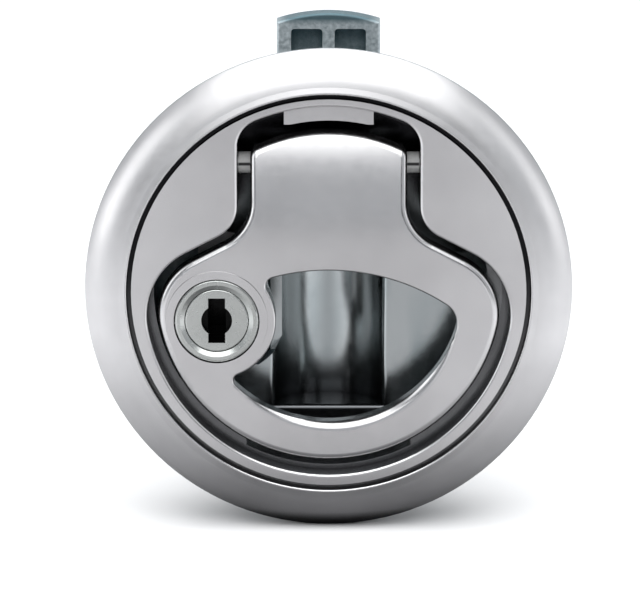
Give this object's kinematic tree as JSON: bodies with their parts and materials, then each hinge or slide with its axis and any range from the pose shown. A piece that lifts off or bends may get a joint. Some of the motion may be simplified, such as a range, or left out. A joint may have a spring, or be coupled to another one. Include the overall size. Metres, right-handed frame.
{
  "type": "flush hatch latch",
  "caption": "Round chrome flush pull latch with a lever, a key lock in the lever and a sprung bolt, clamped in a round panel hole.",
  "frame": {"origin": "on the axis of the panel hole, in the panel's front surface, where the bezel's gasket seats", "axes": "+X to the right seen from the front, +Y into the panel along the barrel's axis, +Z towards the bolt's nose"},
  "size_m": [0.0825, 0.0399, 0.0848],
  "materials": {
    "chrome": "bright satin plate on cast zinc",
    "lock_chrome": "satin plate",
    "zinc": "grainy cast surface, grey-blue",
    "steel": "plain",
    "spring_steel": "drawn wire",
    "brass": "plain",
    "nylon": "matte",
    "rubber": "matte"
  },
  "bodies": {
    "housing_body": {"housing": "chrome", "bezel_gasket": "rubber", "lever_pin": "steel", "pivot_bush_left": "nylon", "pivot_bush_right": "nylon", "lever_spring": "spring_steel", "bolt_spring_left": "spring_steel", "bolt_spring_right": "spring_steel", "bolt_cover": "steel", "cover_screws": "steel", "clamp_ring": "steel", "clamp_washers": "steel", "clamp_screws": "steel", "lock_cap": "zinc"},
    "lever_body": {"lever": "chrome", "lock_body": "lock_chrome", "lock_nut": "steel"},
    "lock_core": {"lock_plug": "lock_chrome", "lock_wafers": "brass", "lock_cam": "steel", "cam_washer": "steel", "cam_screw": "steel"},
    "bolt_body": {"bolt": "zinc"}
  },
  "joints": [
    {"name": "lever_pull", "type": "hinge", "parent": "housing_body", "child": "lever_body", "pos_m": [0, 0.0004, 0.0214], "axis": [-1, 0, 0], "range_deg": [0, 45], "stiffness_Nm_per_rad": 0.2, "springref_deg": -57.3, "deforming": ["lever_spring"]},
    {"name": "bolt_slide", "type": "slide", "parent": "housing_body", "child": "bolt_body", "axis": [0, 0, -1], "range_m": [0, 0.0113], "stiffness_N_per_m": 100, "springref_m": -0.012, "deforming": ["bolt_spring_left", "bolt_spring_right"]},
    {"name": "lock_turn", "type": "hinge", "parent": "lever_body", "child": "lock_core", "pos_m": [-0.0189, 0, -0.00467], "axis": [0, 1, 0], "range_deg": [0, 180]}
  ],
  "couplings": [
    {"joint": "bolt_slide", "follows": "lever_pull", "m_per_rad": 0.014388}
  ]
}
